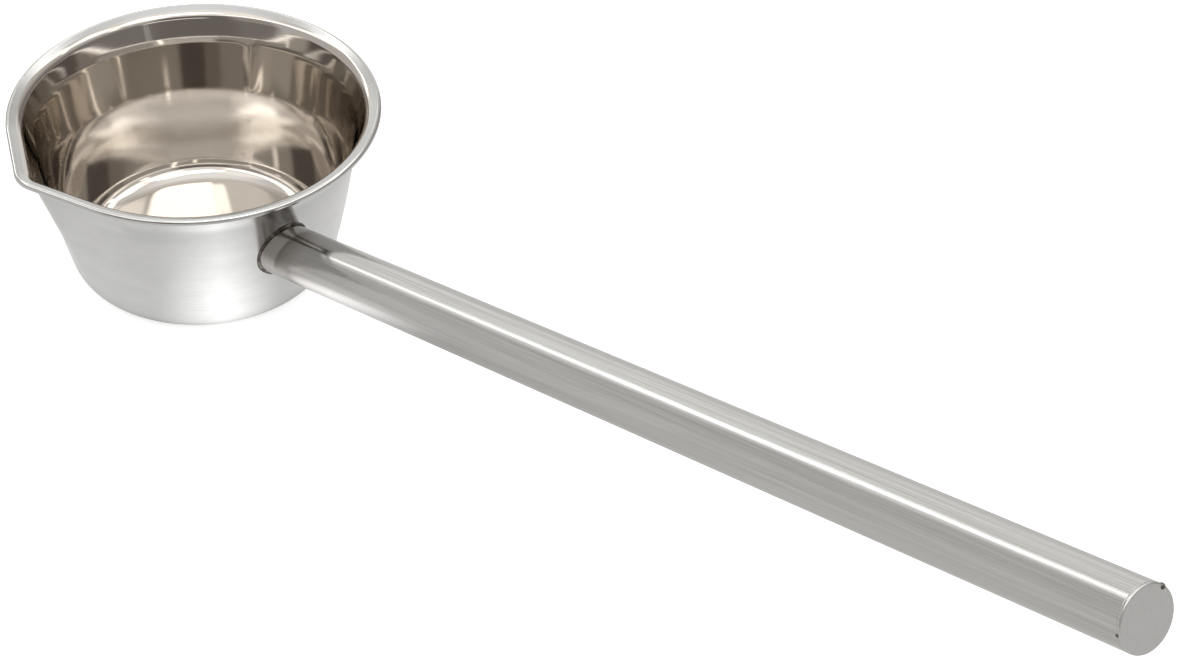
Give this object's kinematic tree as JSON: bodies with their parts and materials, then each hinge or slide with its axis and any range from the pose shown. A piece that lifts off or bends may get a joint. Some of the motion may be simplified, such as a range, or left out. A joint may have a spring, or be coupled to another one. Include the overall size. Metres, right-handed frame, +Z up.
{
  "type": "melting pot",
  "caption": "Small round steel melting and pouring pot with a flared rolled rim, a pouring lip at one side and a long straight tube handle rising from its wall.",
  "frame": {"origin": "centre of the bowl's flat base, on the resting plane, with the bowl upright", "axes": "+Z up along the bowl's axis, +X along the handle seen from above, towards its free end, -Y towards the pouring lip"},
  "size_m": [0.5086, 0.135, 0.1739],
  "materials": {
    "bowl_steel": "bright drawn stainless, polished inside, satin outside",
    "tube_steel": "brushed lengthways",
    "cap_steel": "satin",
    "weld_metal": "heat-tinted"
  },
  "bodies": {
    "root": {"bowl": "bowl_steel", "handle_tube": "tube_steel", "end_cap": "cap_steel", "root_weld": "weld_metal", "cap_tacks": "weld_metal"}
  },
  "joints": []
}
